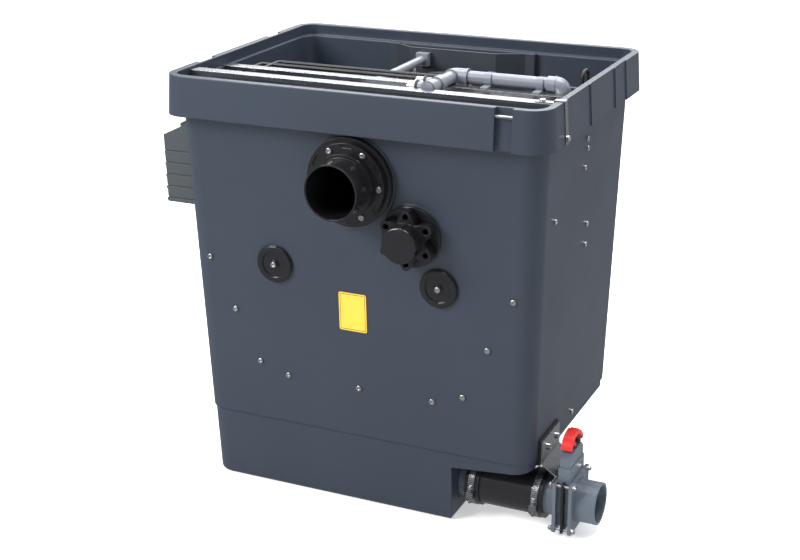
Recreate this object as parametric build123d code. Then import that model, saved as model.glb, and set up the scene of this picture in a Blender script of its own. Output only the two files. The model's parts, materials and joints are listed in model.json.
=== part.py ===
from build123d import *
import math
import os

os.makedirs("parts", exist_ok=True)

# ---- overall sizes (mm); +X to the right of the inlet side, +Y to the back, +Z up
RIM_L = 800.0            # rim length over the skirt at the top
RIM_W = 600.0            # rim width over the skirt at the top
RIM_H = 880.0            # top of the rim above the ground
SKIRT_H = 80.0           # depth of the rim skirt
SKIRT_FLARE = 5.4        # how far the skirt spreads at its lower edge, each side
RIM_R = 43.0             # plan radius of the rim corners
SKIRT_T = 5.0
LID_DROP = 23.0          # lid ledge below the rim top
LEDGE_T = 7.0
FLANGE_W = 15.0          # flat top of the rim
LIP_T = 4.5
DRAFT = 0.03             # wall lean, mm per mm
BODY_IN_X = 15.8         # body side inside the rim edge at the skirt foot
BODY_IN_Y = 26.0
BODY_R = 40.0
WALL = 7.0
STEP_Z = 155.4           # height of the ledge where the sump block begins
STEP_IN = 3.3
SUMP_X0_FLOOR = 12.0     # sump floor thickness
SUMP_RIGHT = 199.0       # right end of the sump block
OVERHANG_Z = 122.0       # underside height beside the sump block
OVERHANG_RISE = 0.086    # rise of the underside towards the right
OVERHANG_T = 8.0
EDGE_R = 10.0            # softened moulding edges

# ---- drum and its drive
DRUM_Z = 627.0           # drum axis height, on the centre plane
DRUM_R = 192.0           # drum frame radius
DRUM_FRONT = -164.0
DRUM_BACK = 188.0
NECK_IN = 178.0          # open neck bore radius
NECK_FRONT = -222.0
NECK_BACK = -178.0
ROLLER_R = 25.0
ROLLER_X = 178.5
ROLLER_Z = 507.5
ROLLER_W = 24.0
ROLLER_FRONT = -214.0
AXLE_R = 6.0
GEAR_M = 5.0
GEAR_TEETH = 82
PINION_TEETH = 12
PINION_ANGLE = 42.0
GEAR_W = 14.0
SHAFT_GAP = 0.05         # radial clearance of turning shafts
RUN_GAP = 0.3            # clearance between neighbours that move apart
BACKLASH = 0.6

# ---- inlet, capped port, outlet, drain
PIPE_110_R = 55.0
PIPE_110_T = 3.2
INLET_Z = 703.0
INLET_REACH = 88.0
CAP_X = 125.0
CAP_Z = 607.0
CAP_NECK_R = 30.0
OUTLET_X = -230.0
OUTLET_Z = 430.0
DRAIN_Y = -171.0
DRAIN_Z = 64.0
DRAIN_R = 41.0           # stub outside radius
DRAIN_IN = 37.5          # stub and socket bore radius
VALVE_X0 = 404.0         # inner face of the slide valve
VALVE_X1 = 444.0         # outer face
VALVE_HALF = 54.0
VALVE_BOLT = 48.0
VALVE_TRAVEL = 68.0
SOCKET_END = 487.0

# ---- pipework over the drum
RINSE_R = 12.5
RINSE_T = 2.0
FITTING_R = 15.8
RINSE_Z = 872.5
FEED_Y = -57.0
RISER_X = 345.0
MANIFOLD_X = 120.0
BAR_X = -70.0
BAR_Z = 835.0
BAR_R = 9.0

LEAN = math.degrees(math.atan(DRAFT))
SKIRT_Z = RIM_H - SKIRT_H
LEDGE_Z = RIM_H - LID_DROP
HALF_L = RIM_L / 2
HALF_W = RIM_W / 2
NODES = {}


def half_x(z):
    inset = BODY_IN_X + DRAFT * (SKIRT_Z - z)
    return HALF_L - inset - (STEP_IN if z < STEP_Z - 0.01 else 0)


def half_y(z):
    inset = BODY_IN_Y + DRAFT * (SKIRT_Z - z)
    return HALF_W - inset - (STEP_IN if z < STEP_Z - 0.01 else 0)


def keep(name, *solids):
    NODES[name] = [s for shape in solids for s in shape.solids()]


def box(x0, x1, y0, y1, z0, z1):
    return Pos((x0 + x1) / 2, (y0 + y1) / 2, (z0 + z1) / 2) * Box(x1 - x0, y1 - y0, z1 - z0)


def rounded_slab(hx0, hy0, r0, z0, hx1, hy1, r1, z1):
    low = Pos(0, 0, z0) * RectangleRounded(2 * hx0, 2 * hy0, r0)
    high = Pos(0, 0, z1) * RectangleRounded(2 * hx1, 2 * hy1, r1)
    return loft([low, high])


def rod_x(x0, x1, y, z, r):
    return Pos((x0 + x1) / 2, y, z) * Rot(0, 90, 0) * Cylinder(r, x1 - x0)


def rod_y(x, y0, y1, z, r):
    return Pos(x, (y0 + y1) / 2, z) * Rot(90, 0, 0) * Cylinder(r, y1 - y0)


def rod_z(x, y, z0, z1, r):
    return Pos(x, y, (z0 + z1) / 2) * Cylinder(r, z1 - z0)


def tube_x(x0, x1, y, z, ro, ri):
    return rod_x(x0, x1, y, z, ro) - rod_x(x0 - 1, x1 + 1, y, z, ri)


def tube_y(x, y0, y1, z, ro, ri):
    return rod_y(x, y0, y1, z, ro) - rod_y(x, y0 - 1, y1 + 1, z, ri)


def tube_z(x, y, z0, z1, ro, ri):
    return rod_z(x, y, z0, z1, ro) - rod_z(x, y, z0 - 1, z1 + 1, ri)


def plate_xz(points, y0, y1):
    # outline given in x and z, thick from y0 to y1
    face = make_face(Polyline(*[(x, z) for x, z in points], close=True))
    return extrude(Plane(origin=(0, y1, 0), x_dir=(1, 0, 0), z_dir=(0, -1, 0)) * face, y1 - y0)


def plate_yz(points, x0, x1):
    # outline given in y and z, thick from x0 to x1
    face = make_face(Polyline(*[(y, z) for y, z in points], close=True))
    return extrude(Plane(origin=(x0, 0, 0), x_dir=(0, 1, 0), z_dir=(1, 0, 0)) * face, x1 - x0)


def plate_xy(points, z0, z1):
    face = make_face(Polyline(*points, close=True))
    return extrude(Pos(0, 0, z0) * face, z1 - z0)


def on_front(x, z):
    return Pos(x, -half_y(z), z) * Rot(90 + LEAN, 0, 0)


def on_right(y, z):
    return Pos(half_x(z), y, z) * Rot(0, 90 + LEAN, 0)


def swept(points, bend, r):
    path = FilletPolyline(*points, radius=bend)
    return sweep(Plane(origin=path @ 0, z_dir=path % 0) * Circle(r), path=path)


# ---- fasteners: a pan head with a hexagon socket, head on z = 0, shank below
PAN_R = 6.0
PAN_H = 4.0
SHANK_R = 3.0


def pan_screw(length, head_r=PAN_R, head_h=PAN_H, shank_r=SHANK_R):
    head = Pos(0, 0, head_h / 2) * Cylinder(head_r, head_h)
    head = fillet(head.edges().group_by(Axis.Z)[-1], head_h * 0.35)
    head -= Pos(0, 0, head_h) * extrude(RegularPolygon(head_r * 0.42, 6), -head_h * 0.55)
    return head + Pos(0, 0, -length / 2) * Cylinder(shank_r, length)


def shank_hole(length, shank_r=SHANK_R):
    return Pos(0, 0, -length / 2 + 1) * Cylinder(shank_r, length + 2)


# ---- tank moulding
def body_loft(inset, z0, z1):
    r = BODY_R - inset
    return rounded_slab(half_x(z0) - inset, half_y(z0) - inset, r,
                        z0, half_x(z1) - inset, half_y(z1) - inset, r, z1)


def lower_loft(inset, z0):
    hx1 = half_x(STEP_Z) - STEP_IN
    hy1 = half_y(STEP_Z) - STEP_IN
    hx0 = half_x(z0)
    hy0 = half_y(z0)
    r = BODY_R - STEP_IN - inset
    return rounded_slab(hx0 - inset, hy0 - inset, r, z0, hx1 - inset, hy1 - inset, r, STEP_Z)


def under(x, lift):
    return OVERHANG_Z + lift + (x - SUMP_RIGHT) * OVERHANG_RISE


def rim_loft(inset):
    foot = SKIRT_FLARE - inset
    return rounded_slab(HALF_L + foot, HALF_W + foot, RIM_R + foot, SKIRT_Z,
                        HALF_L - inset, HALF_W - inset, RIM_R - inset, RIM_H)


body_outer = body_loft(0, STEP_Z, LEDGE_Z) + lower_loft(0, 0.0)
body_outer -= plate_xz([(SUMP_RIGHT, -5), (500, -5), (500, under(500, 0)),
                        (SUMP_RIGHT, under(SUMP_RIGHT, 0))], -400, 400)
foot_edges = body_outer.edges().filter_by(lambda e: abs(e.center().Z) < 0.5)
body_outer = fillet(foot_edges, EDGE_R)

inner_x = SUMP_RIGHT - OVERHANG_T
cavity = body_loft(WALL, STEP_Z - 0.001, LEDGE_Z + 20) + lower_loft(WALL, SUMP_X0_FLOOR)
cavity -= plate_xz([(inner_x, -5), (500, -5), (500, under(500, OVERHANG_T)),
                    (inner_x, under(inner_x, OVERHANG_T))], -400, 400)

core_hx = HALF_L - FLANGE_W + LIP_T
core_hy = HALF_W - FLANGE_W + LIP_T
core_r = RIM_R - FLANGE_W + LIP_T
lip_core = rounded_slab(core_hx, core_hy, core_r, LEDGE_Z - LEDGE_T,
                        core_hx, core_hy, core_r, RIM_H)
mouth = rounded_slab(core_hx - LIP_T, core_hy - LIP_T, core_r - LIP_T, LEDGE_Z,
                     core_hx - LIP_T, core_hy - LIP_T, core_r - LIP_T, RIM_H + 2)
skirt = rim_loft(0) - (rim_loft(SKIRT_T) - box(-500, 500, -400, 400, RIM_H - SKIRT_T, RIM_H + 5))


def step_in(skirt, a, b, depth, side):
    # sets a stretch of the skirt back by depth, with cheeks at both ends
    def band(p, q):
        if side == "front":
            return box(p, q, -400, -200, SKIRT_Z - 5, RIM_H + 5)
        if side == "back":
            return box(p, q, 200, 400, SKIRT_Z - 5, RIM_H + 5)
        if side == "right":
            return box(300, 500, p, q, SKIRT_Z - 5, RIM_H + 5)
        return box(-500, -300, p, q, SKIRT_Z - 5, RIM_H + 5)
    inner = rim_loft(depth)
    deep = rim_loft(depth + CHEEK_T)
    skirt -= band(a, b) - inner
    skirt += (inner - deep) & band(a - CHEEK_T, b + CHEEK_T)
    for p, q in ((a - CHEEK_T, a), (b, b + CHEEK_T)):
        skirt += (rim_loft(0) - deep) & band(p, q)
    return skirt


CHEEK_T = 4.0
NOTCH_X0 = 300.0
NOTCH_X1 = 334.0
skirt = step_in(skirt, NOTCH_X0, NOTCH_X1, 10.0, "front")
for a, b in ((-168.0, -108.0), (118.0, 170.0)):
    skirt = step_in(skirt, a, b, 10.0, "left")
for a, b in ((-196.0, -58.0), (-52.0, 97.0), (103.0, 172.0)):
    skirt = step_in(skirt, a, b, 2.5, "right")
for a, b in ((-250.0, -60.0), (60.0, 250.0)):
    skirt = step_in(skirt, a, b, 2.5, "back")

INLET_PAD_Y = -275.0
CAP_PAD_Y = -272.0
OUTLET_PAD_Y = 268.0
tank = body_outer + skirt + lip_core
tank += rod_y(0, INLET_PAD_Y, -240, INLET_Z, 93.0)
tank += rod_y(CAP_X, CAP_PAD_Y, -240, CAP_Z, 63.0)
tank += rod_y(OUTLET_X, 240, OUTLET_PAD_Y, OUTLET_Z, 84.0)
tank -= mouth
tank -= cavity
tank -= rod_y(0, -300, -240, INLET_Z, PIPE_110_R)
tank -= rod_y(CAP_X, -300, -240, CAP_Z, CAP_NECK_R)
tank -= rod_y(OUTLET_X, 240, 300, OUTLET_Z, PIPE_110_R)
tank -= rod_x(SUMP_RIGHT - 20, SUMP_RIGHT + 5, DRAIN_Y, DRAIN_Z, DRAIN_R)

# ---- rim pin across the notch
PIN_R = 3.5
pin_y = -(HALF_W - 4.5)
pin_z = RIM_H - 17.0
rim_pin = rod_x(NOTCH_X0 - CHEEK_T - 2, NOTCH_X1 + CHEEK_T + 2, pin_y, pin_z, PIN_R)
tank -= rim_pin
keep("rim_pin", rim_pin)

# ---- cross rails resting on the lid ledge
RAIL_END = core_hx - LIP_T - 1.0
RAIL_T = 2.5
FRONT_RAIL_Y = -219.0
FRONT_RAIL_Z = 875.0
front_rail = box(-RAIL_END, RAIL_END, FRONT_RAIL_Y, FRONT_RAIL_Y + RAIL_T, LEDGE_Z, FRONT_RAIL_Z)
front_rail += box(-RAIL_END, RAIL_END, FRONT_RAIL_Y, FRONT_RAIL_Y + 26,
                  FRONT_RAIL_Z - RAIL_T, FRONT_RAIL_Z)
REAR_RAIL_Y0 = -97.0
REAR_RAIL_Y1 = -73.0
REAR_WEB = 10.0
rear_rail = box(-RAIL_END, RAIL_END, REAR_RAIL_Y0, REAR_RAIL_Y1, LEDGE_Z, LEDGE_Z + RAIL_T)
rear_rail += box(-368, 368, REAR_RAIL_Y0, REAR_RAIL_Y0 + RAIL_T, LEDGE_Z - REAR_WEB, LEDGE_Z)
rear_rail -= box(-349, -306, REAR_RAIL_Y0 - 1, REAR_RAIL_Y0 + RAIL_T + 1,
                 LEDGE_Z - REAR_WEB - 1, LEDGE_Z - 3)  # the cables pass here

# ---- strap that ties the front rail over the rim
STRAP_T = 2.0
STRAP_Y0 = -215.0
STRAP_Y1 = -200.0
strap_x = core_hx - LIP_T - 2.0
rail_strap = box(345, strap_x, STRAP_Y0, STRAP_Y1, FRONT_RAIL_Z, FRONT_RAIL_Z + STRAP_T)
rail_strap += box(strap_x - STRAP_T, strap_x, STRAP_Y0, STRAP_Y1, FRONT_RAIL_Z, RIM_H + STRAP_T)
rail_strap += box(strap_x - STRAP_T, HALF_L + STRAP_T, STRAP_Y0, STRAP_Y1, RIM_H, RIM_H + STRAP_T)
rail_strap += (rim_loft(-STRAP_T) - rim_loft(0)) & box(380, 420, STRAP_Y0, STRAP_Y1, SKIRT_Z, RIM_H)
strap_y = (STRAP_Y0 + STRAP_Y1) / 2

# ---- wall screws: inlet side, right side, strap and disc covers
FRONT_SCREWS = [(330, 502), (278, 394), (226, 285), (161, 263.5), (0, 263)]
RIGHT_SCREWS = [(-15.7, 762.8), (-10.2, 742.5), (-20.1, 705.6), (-186, 643.4),
                (16.2, 579.3), (14.9, 535.8), (-1, 170)]
SCREW_L = 15.0
places = [on_front(s * x, z) for x, z in FRONT_SCREWS for s in ((1, -1) if x else (1,))]
places += [on_right(y, z) for y, z in RIGHT_SCREWS]
wall_screws = [p * pan_screw(SCREW_L) for p in places]
tank_holes = [p * shank_hole(SCREW_L) for p in places]
strap_side = Pos(HALF_L + SKIRT_FLARE * 0.85 + STRAP_T + 0.1, strap_y, RIM_H - SKIRT_H * 0.85)
strap_screw = strap_side * Rot(0, 90 - math.degrees(math.atan(SKIRT_FLARE / SKIRT_H)), 0)
wall_screws.append(strap_screw * pan_screw(SKIRT_T + 4))
tank_holes.append(strap_screw * shank_hole(SKIRT_T + 4))
rail_strap -= strap_screw * shank_hole(SKIRT_T + 4)
rail_screw = Pos(357, strap_y, FRONT_RAIL_Z + STRAP_T)
wall_screws.append(rail_screw * pan_screw(8))
rail_strap -= rail_screw * shank_hole(8)
front_rail -= rail_screw * shank_hole(8)

# ---- bulkhead plate with the fixed collar that reaches into the drum neck
BULK_T = 5.0
COLLAR_OUT = 174.0
COLLAR_IN = 169.0
bulk_outline = [(-175, 248), (175, 248), (240, 270), (348, 508), (348, 800), (-348, 800),
                (-348, 508), (-240, 270)]
slab = plate_xz(bulk_outline, -300, -200)
bulkhead = (slab & cavity) - Pos(0, BULK_T, 0) * cavity
bulkhead += tube_y(0, -262, -208, DRUM_Z, COLLAR_OUT, COLLAR_IN) & cavity
bulkhead -= rod_y(0, -300, -200, INLET_Z, PIPE_110_R)
bulkhead -= rod_y(CAP_X, -300, -200, CAP_Z, CAP_NECK_R)
bulk_holes = [p * shank_hole(SCREW_L) for p in places[:9]]

SEAL_W = 8.0
neck_seal = tube_y(0, -216, -216 + SEAL_W, DRUM_Z, NECK_IN - RUN_GAP, COLLAR_OUT)

# ---- carrying rollers, their axles and the disc covers outside
roller_gap = math.hypot(ROLLER_X, DRUM_Z - ROLLER_Z)
NECK_OUT = roller_gap - ROLLER_R - RUN_GAP
axles = []
covers = []
roller_back = ROLLER_FRONT + ROLLER_W
for side, name in ((-1, "roller_left"), (1, "roller_right")):
    x = side * ROLLER_X
    roller = tube_y(x, ROLLER_FRONT, roller_back, ROLLER_Z, ROLLER_R, AXLE_R + SHAFT_GAP)
    keep(name, roller)
    wall_y = -half_y(ROLLER_Z)
    axle = rod_y(x, wall_y + 1.2, roller_back + 5, ROLLER_Z, AXLE_R)
    shoulder = rod_y(x, wall_y, ROLLER_FRONT - RUN_GAP, ROLLER_Z, 11.0) & cavity
    shoulder -= (slab & cavity) - Pos(0, BULK_T, 0) * cavity
    axle += shoulder
    axle += rod_y(x, roller_back + RUN_GAP, roller_back + 5, ROLLER_Z, 10.0)
    axles.append(axle)
    tank_holes.append(rod_y(x, -300, -240, ROLLER_Z, AXLE_R))
    bulk_holes.append(rod_y(x, -300, -240, ROLLER_Z, AXLE_R))
    spot = on_front(x, ROLLER_Z)
    disc = Pos(0, 0, 2) * Cylinder(39.5, 4)
    ring = Pos(0, 0, 5) * (Cylinder(38.0, 4) - Cylinder(27.0, 6))
    ring = fillet(ring.edges().group_by(Axis.Z)[-1], 1.6)
    boss = Pos(0, 0, 5) * Cylinder(9.0, 4)
    cover = disc + ring + boss - Pos(0, 0, 5) * Cylinder(SHANK_R, 12)
    covers.append(spot * cover)
    wall_screws.append(spot * Pos(0, 0, 7) * pan_screw(5.5))
keep("roller_axles", *axles)
keep("roller_covers", *covers)


# ---- gears
def gear_face(teeth, bore):
    pitch = teeth * GEAR_M / 2
    root = pitch - 1.25 * GEAR_M
    tip = pitch + 0.8 * GEAR_M
    step = 2 * math.pi / teeth
    points = []
    for i in range(teeth):
        for r, w in ((root, -0.26), (tip, -0.10), (tip, 0.10), (root, 0.26)):
            a = (i + w) * step
            points.append((r * math.cos(a), r * math.sin(a)))
    return make_face(Polyline(*points, close=True)) - Circle(bore)


def gear_along_y(teeth, bore, x, z, turn, y0, y1):
    gear = extrude(gear_face(teeth, bore), y1 - y0)
    return Pos(x, y1, z) * Rot(90, 0, 0) * Rot(0, 0, turn) * gear


GEAR_FRONT = NECK_BACK
GEAR_BACK = GEAR_FRONT + GEAR_W
centres = (GEAR_TEETH + PINION_TEETH) * GEAR_M / 2 + BACKLASH
pin_a = math.radians(PINION_ANGLE)
PINION_X = centres * math.cos(pin_a)
PINION_Z = DRUM_Z + centres * math.sin(pin_a)
drum_gear = gear_along_y(GEAR_TEETH, DRUM_R - 6, 0, DRUM_Z,
                         PINION_ANGLE + 180.0 / GEAR_TEETH, GEAR_FRONT, GEAR_BACK)
neck_ring = tube_y(0, NECK_FRONT, NECK_BACK, DRUM_Z, NECK_OUT, NECK_IN)
neck_ring += tube_y(0, NECK_BACK - 4, NECK_BACK, DRUM_Z, 200.0, NECK_IN)

# ---- drum basket
BAR_T = 8.0
hoops = [(GEAR_BACK, GEAR_BACK + 12), (-50, -42), (62, 70), (DRUM_BACK - 12, DRUM_BACK)]
frame = None
for y0, y1 in hoops:
    hoop = tube_y(0, y0, y1, DRUM_Z, DRUM_R, DRUM_R - BAR_T)
    frame = hoop if frame is None else frame + hoop
bars = tube_y(0, GEAR_BACK + 6, DRUM_BACK - 6, DRUM_Z, DRUM_R, DRUM_R - BAR_T)
for i in range(12):
    a = math.radians(15 + 30 * i)
    x = (DRUM_R - BAR_T / 2) * math.cos(a)
    z = (DRUM_R - BAR_T / 2) * math.sin(a)
    slot = Pos(x, 0, DRUM_Z + z) * Rot(0, -math.degrees(a), 0) * Box(30, 500, 12)
    frame += bars & slot
screens = tube_y(0, GEAR_BACK + 2, DRUM_BACK, DRUM_Z, DRUM_R - BAR_T - 0.1, DRUM_R - BAR_T - 3)
DRUM_AXLE_R = 12.0
END_T = 6.0
BAFFLE_Y = 232.0
BEARING_Y0 = 206.0
end_plate = rod_y(0, DRUM_BACK, DRUM_BACK + END_T, DRUM_Z, DRUM_R)
for i in range(6):
    a = math.radians(60 * i + 30)
    hole = rod_y(115 * math.cos(a), DRUM_BACK - 5, DRUM_BACK + 20, DRUM_Z + 115 * math.sin(a), 32.0)
    rib_end = hole & end_plate
    end_plate -= rib_end
    end_plate += rib_end & rod_y(0, DRUM_BACK, DRUM_BACK + 2.5, DRUM_Z, DRUM_R)
end_plate += rod_y(0, DRUM_BACK - 8, BEARING_Y0 - 2, DRUM_Z, 26.0)
end_plate += rod_y(0, BEARING_Y0 - 3, BAFFLE_Y - 4, DRUM_Z, DRUM_AXLE_R)

# ---- back baffle: an open duct on the back wall that also carries the rear bearing
SHEET_T = 4.0
BAFFLE_Z0 = 330.0
BAFFLE_TOP = 858.0
outer = [(-167, 300), (-167, 256), (-146, 256), (-105, BAFFLE_Y), (96, BAFFLE_Y), (154, 256),
         (175, 256), (175, 300)]
duct = plate_xy(outer, BAFFLE_Z0, BAFFLE_TOP)
inner_duct = plate_xy([(-142, 300), (-142, 259), (-103.5, BAFFLE_Y + SHEET_T),
                       (94.5, BAFFLE_Y + SHEET_T), (150, 259), (150, 300)],
                      BAFFLE_Z0 + SHEET_T, BAFFLE_TOP + 5)
baffle = (duct & body_loft(WALL, STEP_Z, LEDGE_Z + 5)) - inner_duct
bearing = tube_y(0, BEARING_Y0, BAFFLE_Y, DRUM_Z, 30.0, DRUM_AXLE_R + SHAFT_GAP)
bearing += (tube_y(0, BAFFLE_Y - 8, BAFFLE_Y, DRUM_Z, 52.0, DRUM_AXLE_R + 4))
for i in range(4):
    a = math.radians(90 * i + 45)
    bearing += rod_y(42 * math.cos(a), BAFFLE_Y - 12, BAFFLE_Y, DRUM_Z + 42 * math.sin(a), 5.0)

# ---- drive plate, gear motor and pinion
PLATE_Z = LEDGE_Z - REAR_WEB
PLATE_T = 2.5
BRACKET_Y0 = GEAR_BACK + 1.0
BRACKET_Y1 = BRACKET_Y0 + 3.0
PLATE_X0 = 140.0
plate = box(PLATE_X0, 322, FRONT_RAIL_Y + RAIL_T, REAR_RAIL_Y1, PLATE_Z - PLATE_T, PLATE_Z)
plate += box(PLATE_X0, 322, FRONT_RAIL_Y + RAIL_T, FRONT_RAIL_Y + RAIL_T * 2,
             PLATE_Z - PLATE_T, FRONT_RAIL_Z - RAIL_T)
plate += box(PLATE_X0, 216, BRACKET_Y0, BRACKET_Y1, 748, PLATE_Z)
plate -= rod_y(0, -300, 100, DRUM_Z, DRUM_R + 8)
plate -= rod_y(PINION_X, -300, 100, PINION_Z, 9.0)
MOTOR_R = 26.0
SHAFT_R = 6.0
motor = rod_y(PINION_X, BRACKET_Y1, BRACKET_Y1 + 45, PINION_Z, 30.0)
motor += rod_y(PINION_X, BRACKET_Y1 + 45, BRACKET_Y1 + 120, PINION_Z, MOTOR_R)
motor += rod_y(PINION_X, BRACKET_Y1 + 120, BRACKET_Y1 + 128, PINION_Z, MOTOR_R - 6)
motor -= rod_y(PINION_X, BRACKET_Y1 - 5, BRACKET_Y1 + 25, PINION_Z, SHAFT_R + SHAFT_GAP)
motor_end = BRACKET_Y1 + 128
pinion = gear_along_y(PINION_TEETH, 2.0, PINION_X, PINION_Z, PINION_ANGLE + 180,
                      GEAR_FRONT, GEAR_BACK - 2)
pinion += rod_y(PINION_X, GEAR_FRONT - 4, GEAR_BACK - 1, PINION_Z, 14.0)
pinion += rod_y(PINION_X, GEAR_FRONT, BRACKET_Y1 + 24, PINION_Z, SHAFT_R)

# ---- inlet: flange, clamp ring, pipe, backing ring and screws
FLANGE_T = 12.0
CLAMP_T = 12.0
BOLT_CIRCLE = 70.0


def bulkhead_set(x, z, pad_y, out):
    # out is -1 for the inlet side, +1 for the back
    def span(a, b):
        return sorted((pad_y + out * a, pad_y + out * b))
    y0, y1 = span(0, FLANGE_T)
    flange = tube_y(x, y0, y1, z, 88.5, PIPE_110_R)
    y0, y1 = span(FLANGE_T, FLANGE_T + CLAMP_T)
    clamp = tube_y(x, y0, y1, z, 80.0, PIPE_110_R)
    screws = []
    for i in range(6):
        a = math.radians(60 * i - 2)
        spot = Pos(x + BOLT_CIRCLE * math.cos(a), pad_y + out * (FLANGE_T + CLAMP_T),
                   z + BOLT_CIRCLE * math.sin(a)) * Rot(-90 * out, 0, 0)
        screws.append(spot * pan_screw(FLANGE_T + CLAMP_T - 2))
        flange -= spot * shank_hole(FLANGE_T + CLAMP_T - 2)
        clamp -= spot * shank_hole(FLANGE_T + CLAMP_T - 2)
        b = math.radians(60 * i + 28)
        groove = Pos(x + 74 * math.cos(b), pad_y + out * (FLANGE_T + CLAMP_T),
                     z + 74 * math.sin(b)) * Rot(0, -math.degrees(b), 0) * Box(7, 5, 22)
        clamp -= groove
    return flange, clamp, screws


inlet_flange, inlet_clamp, inlet_bolts = bulkhead_set(0, INLET_Z, INLET_PAD_Y, -1)
inlet_end = INLET_PAD_Y - INLET_REACH
pipe_in = PIPE_110_R - PIPE_110_T
inlet_pipe = tube_y(0, inlet_end, -236, INLET_Z, PIPE_110_R, pipe_in)
collar_y = INLET_PAD_Y - FLANGE_T - CLAMP_T
inlet_pipe += tube_y(0, collar_y - 14, collar_y, INLET_Z, 61.5, PIPE_110_R - 1)

outlet_flange, outlet_clamp, outlet_bolts = bulkhead_set(OUTLET_X, OUTLET_Z, OUTLET_PAD_Y, 1)
outlet_end = OUTLET_PAD_Y + INLET_REACH
outlet_pipe = tube_y(OUTLET_X, 236, outlet_end, OUTLET_Z, PIPE_110_R, pipe_in)
outlet_collar_y = OUTLET_PAD_Y + FLANGE_T + CLAMP_T
outlet_pipe += tube_y(OUTLET_X, outlet_collar_y, outlet_collar_y + 14, OUTLET_Z, 61.5,
                      PIPE_110_R - 1)

# ---- capped port with its star grip
cap_flange = rod_y(CAP_X, CAP_PAD_Y - 6, CAP_PAD_Y, CAP_Z, 61.0)
cap_flange = fillet(cap_flange.edges().group_by(Axis.Y)[0], 2.0)
cap_flange += rod_y(CAP_X, CAP_PAD_Y - 56, -238, CAP_Z, CAP_NECK_R)
cap_flange -= rod_y(CAP_X, CAP_PAD_Y - 60, -230, CAP_Z, CAP_NECK_R - 4)
star_pts = []
for i in range(6):
    for r, w in ((37, -0.5), (46, -0.32), (58, -0.1), (60, 0), (58, 0.1), (46, 0.32)):
        a = math.radians(60 * (i + w) + 30)
        star_pts.append((CAP_X + r * math.cos(a), CAP_Z + r * math.sin(a)))
star = plate_xz(star_pts, CAP_PAD_Y - 30, CAP_PAD_Y - 9)
for i in range(6):
    a = math.radians(60 * i + 30)
    star -= rod_y(CAP_X + 47 * math.cos(a), -330, -262, CAP_Z + 47 * math.sin(a), 6.0)
CAP_FACE_Y = CAP_PAD_Y - 64.0
knob = rod_y(CAP_X, CAP_FACE_Y, CAP_PAD_Y - 9, CAP_Z, 36.0)
knob = fillet(knob.edges().group_by(Axis.Y)[0], 4.0)
star_cap = knob + star
star_cap -= rod_y(CAP_X, CAP_PAD_Y - 57, -262, CAP_Z, CAP_NECK_R + SHAFT_GAP)
for i in range(12):
    a = math.radians(30 * i + 15)
    star_cap -= rod_y(CAP_X + 37.5 * math.cos(a), CAP_FACE_Y - 2, CAP_PAD_Y - 32,
                      CAP_Z + 37.5 * math.sin(a), 3.0)

# ---- waste trough inside the drum, with its pipe to the capped port
trough_form = [(-62, 774), (-40, 746), (60, 746), (72, 774)]
trough_inside = [(-57, 774.5), (-38, 750), (58, 750), (67, 774.5)]
trough = plate_xz(trough_form, -232, 176) - plate_xz(trough_inside, -228, 172)
for side in (-1, 1):
    x = 5 + side * 62
    trough += (box(x - 3, x + 3, -300, -150, 754, 774) & cavity) - plate_xz(trough_inside, -228, 172)
trough -= (slab & cavity) - Pos(0, BULK_T, 0) * cavity
waste_path = [(42, -212, 757), (CAP_X, -212, 700), (CAP_X, -212, CAP_Z), (CAP_X, -238, CAP_Z)]
waste = swept(waste_path[:3], 20, 18.0) + rod_y(CAP_X, -238, -194, CAP_Z, CAP_NECK_R - 0.5)
bore = swept(waste_path[:3], 20, 15.0) + rod_y(CAP_X, -240, -198, CAP_Z, CAP_NECK_R - 4)
trough = trough + (waste - plate_xz(trough_inside, -228, 172)) - bore

# ---- drain stub, flexible coupling with clamps, slide valve
drain_stub = tube_x(SUMP_RIGHT - OVERHANG_T - 4, 262, DRAIN_Y, DRAIN_Z, DRAIN_R, DRAIN_IN)
drain_stub += tube_x(SUMP_RIGHT - OVERHANG_T - 4, SUMP_RIGHT - OVERHANG_T, DRAIN_Y, DRAIN_Z,
                     DRAIN_R + 8, DRAIN_IN)
COUPLING_X0 = 215.0
COUPLING_X1 = 380.0
coupling = tube_x(COUPLING_X0, COUPLING_X1, DRAIN_Y, DRAIN_Z, 46.0, DRAIN_R)
for x0, x1 in ((COUPLING_X0, COUPLING_X0 + 30), (COUPLING_X1 - 30, COUPLING_X1)):
    coupling += tube_x(x0, x1, DRAIN_Y, DRAIN_Z, 50.0, DRAIN_R)
coupling = coupling + tube_x(262.5, 329.5, DRAIN_Y, DRAIN_Z, DRAIN_R + 1, DRAIN_IN + 1)
CLAMP_BAND = 13.0
clamps = []
for mid in (COUPLING_X0 + 15, COUPLING_X1 - 15):
    band = tube_x(mid - CLAMP_BAND / 2, mid + CLAMP_BAND / 2, DRAIN_Y, DRAIN_Z, 51.2, 50.0)
    housing = box(mid - 7.5, mid + 7.5, DRAIN_Y - 60, DRAIN_Y - 46, DRAIN_Z - 16, DRAIN_Z - 2)
    worm = rod_z(mid, DRAIN_Y - 55.5, DRAIN_Z - 26, DRAIN_Z + 6, 4.0)
    clamp = band + (housing + worm - rod_x(mid - 20, mid + 20, DRAIN_Y, DRAIN_Z, 50.0))
    clamps.append(clamp)

FLANGE_X = 7.0
BLOCK_HALF = 42.0
SLOT_X0 = (VALVE_X0 + VALVE_X1) / 2 - 2.5
SLOT_X1 = SLOT_X0 + 5.0
BLADE_HALF = 35.0
BLADE_T = 4.0
BLADE_GAP = 0.4


def square_yz(half, x0, x1, top=None):
    return box(x0, x1, DRAIN_Y - half, DRAIN_Y + half, DRAIN_Z - half,
               DRAIN_Z + (half if top is None else top))


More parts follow.
